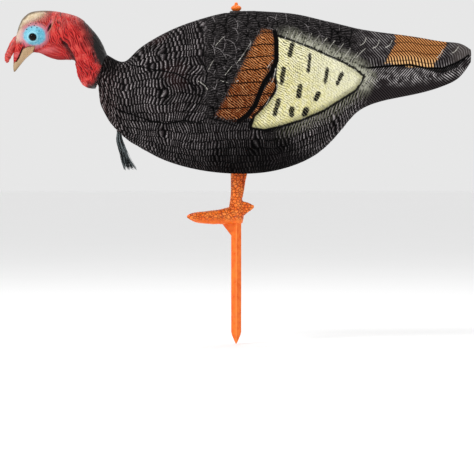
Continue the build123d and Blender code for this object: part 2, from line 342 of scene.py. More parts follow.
# ---- the shell's outline

# X, top, bottom, half width, as in the CAD outline, with a rounded tail end
STATIONS = [
    (-263, 325, 261, 31), (-255.5, 321, 236, 34), (-245, 315.5, 210.5, 37), (-230.5, 307.5, 185.5, 42),
    (-216, 300, 170, 47), (-203, 300.5, 158.5, 52), (-187, 315, 148, 58), (-158, 337, 131, 67),
    (-115, 359.5, 111, 77), (-65, 377.5, 95, 85), (0, 391.5, 86.5, 90), (58, 391, 91.5, 88),
    (115, 385.5, 111, 80), (158, 375.5, 137.5, 70), (190, 368, 170, 58), (216, 361.5, 201, 47),
    (245, 356, 219.5, 38), (290, 350, 232, 31), (345, 342, 243.5, 24), (390, 335, 258.5, 16),
    (418, 330, 278.5, 10), (432, 321, 299, 4),
]
station_x, station_top, station_bottom, station_half = zip(*STATIONS)
shell_top, shell_bottom, shell_half = (
    spline(station_x, values) for values in (station_top, station_bottom, station_half)
)
TAIL_END = station_x[-1]
COLLAR_X, COLLAR_Z, COLLAR_SLOPE = -248.5, 280.5, 0.35216  # the slope is how far its plane leans forwards
LEAN_END_X = -205.0  # where the rings of points stand upright again
WALL = 4.0
SLIT_HALF_LENGTH, SLIT_HALF_GAP = 150.0, 27.0
BEARD_SLOT_X, BEARD_SLOT_HALF = (-232.0, -200.0), 7.0
GROMMET_HOLE = 7.2


def shell_cut(x):
    """How far the belly slit or the beard's slot reaches to each side at x."""
    radius = (SLIT_HALF_LENGTH ** 2 + SLIT_HALF_GAP ** 2) / (2 * SLIT_HALF_GAP)
    slit = np.sqrt(np.maximum(radius ** 2 - x ** 2, 0)) - (radius - SLIT_HALF_GAP)
    front, back = BEARD_SLOT_X
    corner = BEARD_SLOT_HALF - 1
    past = np.maximum(np.abs(x - (front + back) / 2) - (back - front) / 2 + corner, 0)
    slot = 1 + np.sqrt(np.maximum(corner ** 2 - past ** 2, 0))
    return np.maximum(np.maximum(slit, 0), np.where((x > front) & (x < back), slot, 0))


def shell_grid(rows, columns, inset):
    """Points and angles over half of the shell: rows from top to belly, one after another to the tail."""
    along, turn = np.linspace(0, 1, rows)[:, None], np.linspace(0, 1, columns)[None, :]
    upright_x = COLLAR_X + (TAIL_END - COLLAR_X) * along * np.ones((1, columns))
    lean = COLLAR_SLOPE * smooth(upright_x, LEAN_END_X, COLLAR_X)
    x = upright_x
    for _ in range(8):  # each pass moves x nearer to its leaning ring
        half = np.maximum(shell_half(x) - inset, 0.6)
        rise = np.maximum((shell_top(x) - shell_bottom(x)) / 2 - inset, 0.8)
        end = np.pi - np.arcsin(np.clip(shell_cut(x) / half, 0, 1))
        hole = np.sqrt(np.maximum(GROMMET_HOLE ** 2 - x ** 2, 0))
        begin = np.arcsin(np.clip(hole / half, 0, 1))
        angle = begin + (end - begin) * turn
        z = (shell_top(x) + shell_bottom(x)) / 2 + rise * np.cos(angle)
        x = upright_x + lean * (z - COLLAR_Z)
    return np.stack([x, half * np.sin(angle), z], axis=2), angle


# ---- the shell's paint and relief

# Outlines and lines on the side of the bird, as X and Z
COPPER = [
    (48, 357), (64, 353), (68, 341), (69, 316), (67, 302), (54, 271), (37, 236), (26, 207), (8, 190),
    (-20, 193), (-36, 200), (-18, 232), (6, 279), (31, 327),
]
STRIPE = [(70, 352), (73, 335), (73, 298), (66, 280), (51, 259), (43, 240), (34, 217), (19, 199), (4, 188)]
SLIVER = [
    (68, 268), (72, 251), (67, 239), (56, 221), (44, 206), (31, 195), (22, 193), (38, 215), (47, 238),
    (58, 257),
]
CREAM = [
    (76, 341), (104, 332), (138, 319), (167, 306), (196, 294), (216, 283), (231, 271), (226, 259),
    (216, 247), (186, 228), (157, 210), (118, 193), (79, 181), (51, 175), (28, 178), (34, 197), (56, 219),
    (70, 238), (75, 252), (72, 270), (75, 298),
]
WING = [
    (48, 359), (66, 356), (104, 337), (138, 325), (167, 311), (216, 288), (236, 271), (219, 243),
    (157, 205), (118, 188), (79, 176), (51, 170), (8, 184), (-40, 195), (-18, 237), (6, 283), (31, 331),
]
TAIL_COPPER = [
    (293, 350), (387, 336), (385, 328), (379, 317), (368, 302), (360, 287), (320, 289), (273, 296),
    (284, 317), (292, 333),
]
TAIL_SPLIT = [
    (214, 296), (240, 287), (287, 291), (318, 293), (348, 287), (379, 287), (402, 296), (417, 304),
    (427, 311),
]
TAIL_BRAID = [(232, 262), (275, 268), (330, 270), (380, 276), (410, 288)]
# Grooves between the feather tracts of the breast
TRACTS = [
    [(-219, 212), (-196, 203), (-172, 195), (-150, 188), (-124, 184), (-100, 189), (-80, 203), (-65, 226),
     (-58, 250)],
    [(-58, 250), (-52, 275), (-62, 300), (-58, 330)],
    [(-124, 184), (-92, 190), (-70, 186), (-52, 195), (-30, 190), (0, 180)],
    [(-190, 292), (-150, 283), (-110, 276), (-86, 262), (-72, 240)],
]
# X and Z of the middle, length, width, and how far the top leans towards the tail
DASHES = [
    (99, 318, 27, 8, 6), (132, 294, 36, 6, 4), (84, 271, 33, 8, 5), (163, 272, 29, 6, 5),
    (188, 267, 25, 7, 12), (114, 243, 27, 9, 5), (146, 234, 18, 9, 8), (73, 214, 33, 8, 9),
    (100, 206, 20, 9, 1), (125, 206, 18, 10, 9),
]
# Thin raised feather edges with a painted highlight along them, as X and Z of three points on a curve
EDGES = [
    (66, 298, 61, 292, 56, 284), (71, 284, 66, 262, 58, 253), (73, 255, 74, 246, 71, 239),
    (60, 232, 56, 222, 50, 214), (28, 333, 10, 305, 0, 293), (-6, 290, -14, 280, -20, 272),
    (-22, 342, -32, 332, -38, 325), (-40, 300, -46, 290, -50, 282), (-28, 262, -10, 258, 4, 262),
    (-70, 262, -58, 254, -52, 246), (94, 352, 90, 343, 88, 336), (106, 354, 102, 345, 99, 337),
    (120, 352, 112, 341, 108, 333), (138, 349, 128, 336, 122, 327), (152, 346, 140, 331, 133, 321),
    (166, 341, 154, 327, 147, 316), (180, 336, 170, 323, 162, 311), (196, 331, 186, 318, 176, 306),
    (208, 322, 199, 309, 191, 299), (222, 315, 213, 303, 204, 292), (236, 322, 226, 313, 219, 304),
    (262, 338, 258, 328, 250, 323), (286, 338, 282, 330, 273, 324), (238, 343, 234, 333, 226, 328),
    (380, 322, 374, 312, 368, 306), (408, 326, 402, 318, 396, 315),
]
ROW, STROKE = 18.0, 5.0  # the height of a row of barbs and the pitch along it
GOLDEN = 0.618  # each row is shifted by this share of a barb against the one before


def bowed(points):
    """A curve through three points, as a polyline."""
    first, middle, last = np.reshape(points, (3, 2))
    corner = 2 * middle - (first + last) / 2
    t = np.linspace(0, 1, 7)[:, None]
    return first * (1 - t) ** 2 + 2 * corner * t * (1 - t) + last * t * t


def dash_distance(x, z):
    """Distance to the nearest dark bar on the wing, negative inside."""
    best = np.full(np.shape(x), np.inf)
    for cx, cz, length, width, lean in DASHES:
        reach = (length - width) / 2
        shift = lean * reach / length
        bar = to_line(x, z, [(cx - shift, cz - reach), (cx + shift, cz + reach)])
        best = np.minimum(best, bar - width / 2)
    return best


def shell_fields(x, z, angle, seed):
    """The relief in millimetres and the fields that the shell's material reads, from points on its side."""

    def uneven(size, shift):
        return value_noise(x, z, size, seed + shift)

    wander_x = x + 4 * uneven(40, 0) + 1.5 * uneven(13, 1)
    wander_z = z + 4 * uneven(46, 2) + 1.5 * uneven(15, 3)
    girth = np.maximum((shell_top(x) - shell_bottom(x)) / 2, 5) / 150
    fan = 0.35 * (1 - np.exp(-np.maximum(z - 190, 0) / 70)) * smooth(x, 60, -60)
    flow_u = wander_x - (wander_x + 165) * fan + 6 * uneven(24, 4)
    flow_v = 150 * girth ** 0.6 * (angle - np.pi / 2) + 6 * uneven(34, 6)

    wing, cream = to_outline(x, z, WING), to_outline(x, z, CREAM)
    stripe, split = to_line(x, z, STRIPE) - 4.2, to_line(x, z, TAIL_SPLIT)
    above_split = z - np.interp(x, *zip(*TAIL_SPLIT))
    tracts = np.minimum.reduce([to_line(x, z, line) for line in TRACTS])
    edges = np.minimum.reduce([to_line(x, z, bowed(line)) for line in EDGES])

    shoulder = smooth(x, -70, -45) * smooth(x, 70, 40) * smooth(z, 175, 200)
    coverts = smooth(x, 40, 70) * smooth(cream, 0, 4) * smooth(z, 250, 275) * smooth(x, 262, 235)
    scaled = np.clip(shoulder + coverts, 0, 1) * smooth(wing, -1, 1.5)
    scale_edge, scale_angle = scales(wander_x, wander_z, 19, 27, 24, seed + 9)

    row = np.floor(flow_v / ROW)
    beside = np.abs((flow_u / STROKE + row * GOLDEN) % 1 - 0.5) * 2
    row_part = flow_v / ROW - row
    strokes = smooth(beside, 0.9, 0.15) * smooth(row_part, 0, 0.16) * smooth(row_part, 1, 0.84)
    strokes *= (1 - scaled) * smooth(x, 235, 205) * smooth(wing, -1, 2)

    tail_upper = smooth(x, 225, 245) * smooth(above_split, -0.8, 0.8)
    step = smooth(scale_edge, 0, 2.5) * (1 - 0.7 * smooth(scale_edge, 3, 20))
    relief = 1.3 * scaled * (step - 0.3) + 0.55 * strokes
    relief += 1.8 * smooth(wing, 1.0, -2.5) - 1.0 * smooth(np.abs(wing - 1.5), 2.5, 0)
    relief -= 1.2 * smooth(stripe, 1.0, -2.0)
    relief += 1.8 * tail_upper * smooth(above_split, 40, 4)
    relief -= 1.6 * smooth(split, 3.5, 0.5) * smooth(x, 222, 240)
    relief -= 0.9 * smooth(tracts, 2.6, 0.4)
    relief += 0.5 * smooth(edges, 2.2, 0.4)
    relief += 0.9 * uneven(70, 11) + 0.35 * uneven(9, 12)
    return relief, {
        "flow_u": flow_u, "flow_v": flow_v, "scaled": scaled, "scale_edge": scale_edge,
        "scale_angle": scale_angle, "copper": to_outline(x, z, COPPER), "sliver": to_outline(x, z, SLIVER),
        "cream": cream, "stripe": stripe, "dash": dash_distance(x, z), "split": split,
        "above_split": above_split, "above_braid": z - np.interp(x, *zip(*TAIL_BRAID)),
        "tail_copper": to_outline(x, z, TAIL_COPPER), "tract": tracts, "edge_line": edges,
    }


def black_feathers(g, gritty, mid, blotch, hatching):
    """The black print and how light it is: rows of barbs, shoulder feathers and hatching on the tail. The
    pale barbs and feather rims are partly dry-brushed grey paint and partly painted highlight, and the bright
    specks on them are painted highlights.
    """
    x, z = g.x, g.z
    row = (g.field("flow_v") + (mid - 0.5) * 16.0) / ROW
    row_part, row_index = row.fract(), row.floor()
    stroke = g.field("flow_u") / STROKE + row_index * GOLDEN
    across = stroke.fract()
    strength = (g.random(stroke.floor(), row_index) * 0.7 + 0.3) * g.ramp(row_part, 0.0, 0.13)
    strength = strength * g.ramp(row_part, 1.0, 0.87)
    strokes = g.ramp(abs(across - 0.5) * 2, 0.8, 0.1) * strength
    # Painted highlights: bright specks on the barbs' ridges, broken up by noise
    sparkle = g.ramp(g.noise(520, 4, 0.75), 0.42, 0.66)
    painted_glint = g.ramp(abs(across - 0.42), 0.20, 0.04) * sparkle * strength

    edge, scaled = g.field("scale_edge"), g.field("scaled")
    barbs = g.wave(g.field("scale_angle") * 9.0) * g.ramp(edge, 1.0, 5.0)
    barbs = barbs * (g.ramp(mid, 0.35, 0.62) * 0.8 + 0.2)
    # Pale feather rims, partly dry-brushed paint and partly painted highlight
    rim = g.ramp(abs(edge - 1.6), 1.4, 0.2) * g.ramp(g.noise(35, 2), 0.45, 0.58)

    above_braid = g.field("above_braid")
    braid = g.wave((x - abs(above_braid) * 0.95) / 5.0)
    tail, above = g.ramp(x, 205, 250), g.ramp(g.field("above_split"), -1.0, 1.0)
    tail_barbs = braid + (hatching - braid) * above
    banded = g.ramp(abs(above_braid - 5), 24, 9)
    banded = banded + (0.35 - banded) * above
    # Painted highlights on the tail's hatching, strongest in a band along the braid
    painted_tail_glint = g.ramp(tail_barbs, 0.55, 0.95) * banded * g.ramp(g.noise(60, 4, 0.65), 0.38, 0.66)

    # Fewer pale barbs towards the belly: partly the print fading to black and partly painted shade under the
    # body
    belly_fade = g.ramp(z - x * 0.22, 105, 185) * 0.78 + 0.22
    front = g.ramp(x, 40, -120) * 0.45 + 0.55
    flank = g.ramp(x, 70, 140) * g.ramp(z + x * 0.1, 125, 175)
    smooth_neck = g.ramp(x, -196, -226) * g.ramp(z, 262, 290)
    amount = (belly_fade * front + flank * 0.9) * (g.ramp(blotch, 0.3, 0.75) * 0.6 + 0.5)
    in_rows = amount * (1 - smooth_neck * 0.85) * (1 - scaled) * (1 - tail)
    in_scales = scaled * (1 - tail)
    # Pale barbs, partly dry-brushed grey paint and partly painted highlight on their ridges; the next line
    # gathers the painted highlights
    light = strokes * in_rows + (barbs * 0.55 + rim) * in_scales * 0.45 + tail_barbs * tail * 0.45
    painted_glint = painted_glint * in_rows + (barbs * 0.15 + rim * 0.5) * in_scales * sparkle + painted_tail_glint * tail

    flush = g.ramp(g.noise(14, 3, 0.5), 0.50, 0.66) * g.ramp(x, -40, -130) * g.ramp(z, 190, 240)
    spray = g.ramp(g.field("cream") + (blotch - 0.5) * 20, 30, 3) * g.ramp(x, 60, 130)
    olive = spray * g.ramp(g.wave((x - z * 0.4) / 5.0), 0.35, 0.95)
    mist = spray * g.ramp(z + x * 0.5, 350, 372) * g.ramp(mid, 0.36, 0.60)
    black = g.layers(
        g.mix(g.ramp(blotch, 0.3, 0.7), (0.001, 0.0009, 0.001), (0.003, 0.0026, 0.0027)),
        # pale barbs: partly paint, partly painted highlight
        (light, g.mix(g.ramp(x, -255, -190), (0.10, 0.056, 0.056), (0.078, 0.064, 0.068))),
        # painted highlights
        (painted_glint * 0.95, (0.70, 0.66, 0.66)),
        (flush * 0.22, (0.035, 0.010, 0.010)),
        (g.ramp(x, 385, 412) * above * 0.5, g.mix(gritty, (0.05, 0.042, 0.04), (0.15, 0.13, 0.12))),
        (olive * 0.7, (0.30, 0.30, 0.21)),
        (mist * 0.75, (0.50, 0.50, 0.40)),
    )
    return black, light


def copper_panel(g, mid, blotch, sweep):
    """Copper barbs with darker lines across them."""
    barb = g.wave((g.z + g.x * 0.85 + sweep) / 5.0)
    across = ((g.z + 1.5 - g.x * 0.06) / 22.5 + (blotch - 0.5) * 0.5).fract()
    return g.layers(
        g.mix(g.ramp(g.z + g.x * 0.4, 215, 345), (0.17, 0.040, 0.010), (0.36, 0.115, 0.030)),
        # Lighter barbs: partly print and partly a painted highlight along them
        (g.ramp(barb, 0.6, 1.0) * g.ramp(mid, 0.4, 0.6) * 0.7, (0.66, 0.32, 0.14)),
        (g.ramp(barb, 0.72, 0.22) * 0.95, (0.012, 0.003, 0.002)),
        (g.ramp(abs(across - 0.5), 0.085, 0.03) * 0.95, (0.010, 0.003, 0.002)),
        (g.ramp(g.z + (mid - 0.5) * 10, 338, 360) * 0.6, (0.02, 0.009, 0.006)),
    )


def cream_panel(g, mid, brushed, barb):
    """A cream panel, whiter towards the back and hatched towards the front."""
    x, z = g.x, g.z
    near_front = g.ramp(x - z * 0.55, 70, -95) * 0.68 + 0.22
    border = g.ramp(g.field("cream") + brushed, -11, -1) * g.ramp(z - x * 0.35, 240, 170)
    return g.layers(
        g.mix(g.ramp(x + z * 0.7, 270, 400), (0.72, 0.67, 0.32), (0.80, 0.78, 0.52)),
        (g.ramp(mid, 0.40, 0.62) * 0.45, (0.90, 0.87, 0.72)),
        (g.ramp(barb, 0.60, 0.98) * near_front, (0.06, 0.05, 0.02)),
        (border * 0.75, (0.20, 0.19, 0.09)),
    )


def tail_patch(g, mid, hatching):
    """A copper patch on the tail, with light bars."""
    above_split, bars = g.field("above_split"), g.ramp(hatching, 0.38, 0.78)
    return g.layers(
        g.mix(bars, (0.030, 0.009, 0.004), (0.62, 0.26, 0.085)),
        (g.ramp(mid, 0.45, 0.65) * bars * 0.35, (0.30, 0.10, 0.03)),
        (g.ramp(above_split, 26, 4) * bars * 0.75, (0.88, 0.58, 0.27)),
        (g.ramp(abs((above_split / 17.0).fract() - 0.5), 0.10, 0.03) * 0.6, (0.03, 0.010, 0.004)),
    )


def shell_material():
    """Printed foam: black feathers, copper and cream panels on the wing, and a copper patch on the tail, with
    painted highlights on the barbs and along raised feather edges.
    """
    g = Graph("feathered_foam", 0.5, 0.01)
    x, z, above_split, cream = g.x, g.z, g.field("above_split"), g.field("cream")
    gritty, mid, blotch = g.noise(420, 5, 0.65), g.noise(160, 4, 0.65), g.noise(26, 4, 0.6)
    wobble = (gritty - 0.5) * 3.0
    brushed = wobble + (mid - 0.5) * 15.0
    sweep = (blotch - 0.5) * 26.0 + (mid - 0.5) * 5.0
    barb = g.wave((z + x * 0.75 + sweep) / 5.4)
    hatching = g.wave((z * 0.55 + x + abs(above_split - 16) * 0.35) / 5.4)

    dashes = g.ramp(g.field("dash") + (g.noise(500, 3) - 0.5) * 7.0 + (mid - 0.5) * 5.0, 1.5, -1.0)

    # Black outlines and grooves, and thin painted highlights along raised edges
    tail = g.ramp(x, 205, 250)
    gape = g.ramp(x, 320, 385) * g.ramp(x, 432, 405) * 9.0 + wobble * 0.6
    under_split = g.ramp(above_split + gape, -1.5, 1.0) * g.ramp(above_split, 1.0, -1.0)
    outline = g.ramp(abs(cream - 2.4) + wobble + (mid - 0.5) * 6, 3.6, 1.4) * 0.95
    for line in (
        g.ramp(g.field("stripe") + wobble * 0.5, 0.8, -0.8),
        g.ramp(g.field("split") + wobble * 0.5, 3.0, 1.0) * tail,
        g.ramp(g.field("tract"), 2.0, 0.6) * (1 - tail),
        under_split * g.ramp(x, 320, 360) * 0.92,
    ):
        outline = outline.larger(line)
    edge_highlight = g.ramp(g.field("edge_line") + (gritty - 0.5) * 2.2, 1.0, 0.2)

    black, light = black_feathers(g, gritty, mid, blotch, hatching)
    ember = copper_panel(g, mid, blotch, sweep)
    color = g.layers(
        black,
        (g.ramp(g.field("copper") + brushed, 4.5, -5.5), ember),
        (g.ramp(g.field("sliver") + wobble, 1.6, -1.6), ember),
        (g.ramp(cream + brushed * 0.6, 1.6, -1.6), cream_panel(g, mid, brushed, barb)),
        (dashes * g.ramp(barb, 0.02, 0.25, 0.72, 1.0), (0.006, 0.0055, 0.006)),
        (g.ramp(g.field("tail_copper") + brushed * 0.7, 2.0, -2.0), tail_patch(g, mid, hatching)),
        (outline, (0.003, 0.0028, 0.003)),
        # painted highlight along the raised feather edges
        (edge_highlight * 0.85, (0.62, 0.60, 0.54)),
    )
    height = light * 0.9 + barb * 0.12 + gritty * 0.22 + edge_highlight * 0.3
    return g.finish(color, height, 1.3, g.ramp(gritty, 0.3, 0.75, 0.52, 0.78))


def build_shell(side, node, seed):
    """One half of the shell: a detailed skin outside, a plain lining inside, joined round the rim."""
    rows, columns, step = 521, 181, 5  # the lining takes each fifth point
    grid, angle = shell_grid(rows, columns, 0.0)
    normals = grid_normals(grid)
    normals *= np.sign(normals[:, :, 1].mean())
    relief, fields = shell_fields(grid[:, :, 0], grid[:, :, 2], angle, seed)
    row, column = np.indices((rows, columns))
    relief *= smooth(np.minimum(column, columns - 1 - column), 0, 3) * smooth(row, 0, 3)
    relief *= smooth(grid[:, :, 1], 1.5, 6)
    outer = grid + normals * relief[:, :, None]
    glued_ridge = smooth(column, 2.2, 0.2) * smooth(np.abs(grid[:, :, 0]), 14, 22)
    outer[:, :, 2] += 0.9 * glued_ridge
    outer[:, :, 1] = np.maximum(outer[:, :, 1], 0)
    inner = shell_grid(rows, columns, WALL)[0][::step, ::step]

    points = np.concatenate([outer.reshape(-1, 3), inner.reshape(-1, 3)]) * (1, side, 1)
    flip = side > 0
    skin = np.arange(rows * columns).reshape(rows, columns)
    lining = skin.size + np.arange(inner.size // 3).reshape(inner.shape[:2])
    faces = grid_faces(*skin.shape, flip=flip)
    skin_count = len(faces)
    faces += grid_faces(*lining.shape, start=skin.size, flip=not flip)
    for edge in (np.s_[0, ::-1], np.s_[-1], np.s_[:, 0], np.s_[::-1, -1]):
        fine, coarse = skin[edge], lining[edge]
        for k in range(len(coarse) - 1):
            ring = [*fine[k * step:(k + 1) * step + 1], coarse[k + 1], coarse[k]]
            faces.append(tuple(int(i) for i in (ring[::-1] if flip else ring)))
    mesh = make_mesh(node + "_skin", points, faces)
    fields = {key: np.concatenate([values.ravel(), np.zeros(lining.size)]) for key, values in fields.items()}
    add_piece(node + "_skin", mesh, [SKIN, LINING], "shell", node, "foam", **fields)
    mesh.polygons.foreach_set("material_index", [int(i >= skin_count) for i in range(len(faces))])
    mesh.set_sharp_from_angle(angle=math.radians(50))


SKIN = shell_material()
LINING = plain_material("foam_inside", (0.02, 0.02, 0.021), 0.8, 1400, 0.25)
build_shell(-1, "shell_left", 21)
build_shell(1, "shell_right", 57)


# ---- the head and neck

# Back point, front point and half width of each rib, from the collar to the beak's tip
RIBS = [
    ((-238, 313), (-259.5, 250), 31), ((-245.5, 331), (-272, 251), 29),
    ((-257, 349.5), (-284.5, 259.5), 26.5), ((-271, 365.5), (-292, 277), 25),
    ((-288, 380.5), (-299.5, 299.5), 24.5), ((-314, 389), (-320, 303), 25),
    ((-342, 393.3), (-346, 308.5), 26), ((-366, 393), (-370, 316.5), 24.5),
    ((-384, 387.5), (-384, 308), 21), ((-397, 369), (-393, 298), 15.5), ((-404.5, 343), (-401, 288.5), 10),
    ((-409, 312), (-406.5, 282), 6), ((-410.5, 293), (-409.5, 281), 3),
]
EYE_X, EYE_Z = -373.0, 344.5
EAR_Z = 361.5
EAR = [(350, -347), (EAR_Z, -342), (373, -337.5)]  # Z and X down the middle of the ear's slit
PLUG_BORE, PLUG_DEPTH = 20.2, 6.0  # radius and depth of the recess that the neck's plug fills
# Outlines and lines on the side of the head, as X and Z
MOUTH = [(-391, 326), (-396, 316), (-400, 307), (-404, 300)]
BEAK = [
    (-393, 321), (-383, 326), (-370, 328), (-372, 317), (-388, 303), (-407, 279), (-416, 279), (-414, 295),
    (-405, 300), (-399, 306),
]
THROAT_CREASE = [(-316, 332), (-309, 322), (-303, 312), (-298, 300)]
JAW = [(-371, 319), (-352, 327), (-334, 329), (-318, 325), (-305, 316)]
CHIN = [(-372, 317), (-337, 306), (-300, 301)]
CROWN = [
    (-410, 352), (-402, 372), (-385, 392), (-350, 400), (-345, 386), (-354, 378), (-376, 371), (-388, 364),
    (-394, 350), (-402, 344),
]
NAPE = [
    (-272, 372), (-263, 352), (-261, 325), (-255, 303), (-246, 290), (-252, 273), (-259, 261), (-274, 247),
    (-230, 235), (-225, 330), (-255, 375),
]
BRISTLE_DOTS = [
    (-380, 365), (-375, 362), (-370, 365), (-365, 361), (-361, 355), (-384, 358), (-367, 369), (-377, 369),
]


def head_relief(x, z, y):
    """Relief in millimetres and the fields that the head's material reads."""
    eye = np.hypot(x - EYE_X, (z - EYE_Z) / 0.92)
    ear_x, ear_z = x - np.interp(z, *zip(*EAR)), z - EAR_Z
    ear = np.hypot(ear_x / 2.3, ear_z / 8.0)
    mouth = to_line(x, z, MOUTH)
    beak, crown, nape = (to_outline(x, z, line) for line in (BEAK, CROWN, NAPE))
    throat, jaw = to_line(x, z, THROAT_CREASE), to_line(x, z, JAW)
    above_jaw = z - np.interp(x, *zip(*JAW))
    blue = np.hypot((x + 370) / 22, (z - 347) / 18.5) - 1
    skin = smooth(blue, 0.0, 0.35) * smooth(crown, -1, 6) * smooth(beak, 0, 3)

    # Folds run down the cheek and the neck, and level under the jaw
    side = 0.25 * np.abs(y)
    across = x + (0.2 + 0.3 * smooth(x, -350, -270)) * (z - 345) + side
    down = z - 0.4 * x + side
    bend = 0.95 * value_noise(across, down * 0.5, 11, 39) + 0.5 * value_noise(across, down * 0.6, 5, 40)
    grooves = np.abs(np.sin(np.pi * (across / 4.6 + bend))) ** 0.65
    worn = smooth(value_noise(across, down * 0.55, 6, 42), -0.75, 0.1)
    folds = 1 - worn * (1 - grooves)
    level = np.abs(np.sin(np.pi * ((z + 0.24 * x) / 4.2 + value_noise(x * 0.4, z, 9, 43)))) ** 0.7
    below_jaw = smooth(above_jaw, 2, -3) * smooth(x, -312, -322)
    folds = folds + (0.55 + 0.45 * level - folds) * below_jaw
    knobs = 1 - np.abs(value_noise(across, down * 0.8, 7.5, 35))
    small = 1 - np.abs(value_noise(across, down, 2.8, 36))
    wattles = smooth(x, -318, -288) * smooth(z, 345, 312)
    relief = skin * (2.3 * (folds - 0.75) + 0.5 * (small ** 3 - 0.4))
    relief += wattles * skin * 2.4 * (knobs ** 2 - 0.5)
    relief *= (1 - 0.7 * smooth(nape, 8, -6)) * (0.3 + 0.7 * smooth(np.abs(y), 1, 11))

    relief += 1.5 * np.exp(-((eye - 8.6) / 1.7) ** 2) - 3.0 * smooth(eye, 7.4, 5.4)
    rings = smooth(eye, 9, 11) * smooth(blue, 0.1, -0.2)
    relief += 0.4 * rings * np.sin(eye * 2.1 + 1.2 * value_noise(x, z, 6, 37))
    relief += -2.4 * smooth(ear, 1.15, 0.4) + 1.2 * np.exp(-((ear - 1.9) / 0.5) ** 2)
    relief += -1.9 * smooth(mouth, 2.0, 0.3) - 1.0 * smooth(np.abs(beak), 1.8, 0.2)
    relief += 1.1 * smooth(beak, 1.5, 5) * smooth(x, -386, -394) * (0.6 + 0.6 * folds)
    relief += -3.2 * smooth(throat, 6.0, 0.5) - 1.4 * smooth(jaw, 4.0, 0.5)
    return relief, {
        "eye": eye, "ear": ear, "ear_side": ear_x, "mouth": mouth, "beak": beak, "crown": crown,
        "nape": nape, "blue": blue * 20, "throat": throat, "fold": folds,
        "chin": z - np.interp(x, *zip(*CHIN)), "jaw": -above_jaw,
        "dots": np.minimum.reduce([np.hypot(x - dx, z - dz) for dx, dz in BRISTLE_DOTS]),
    }


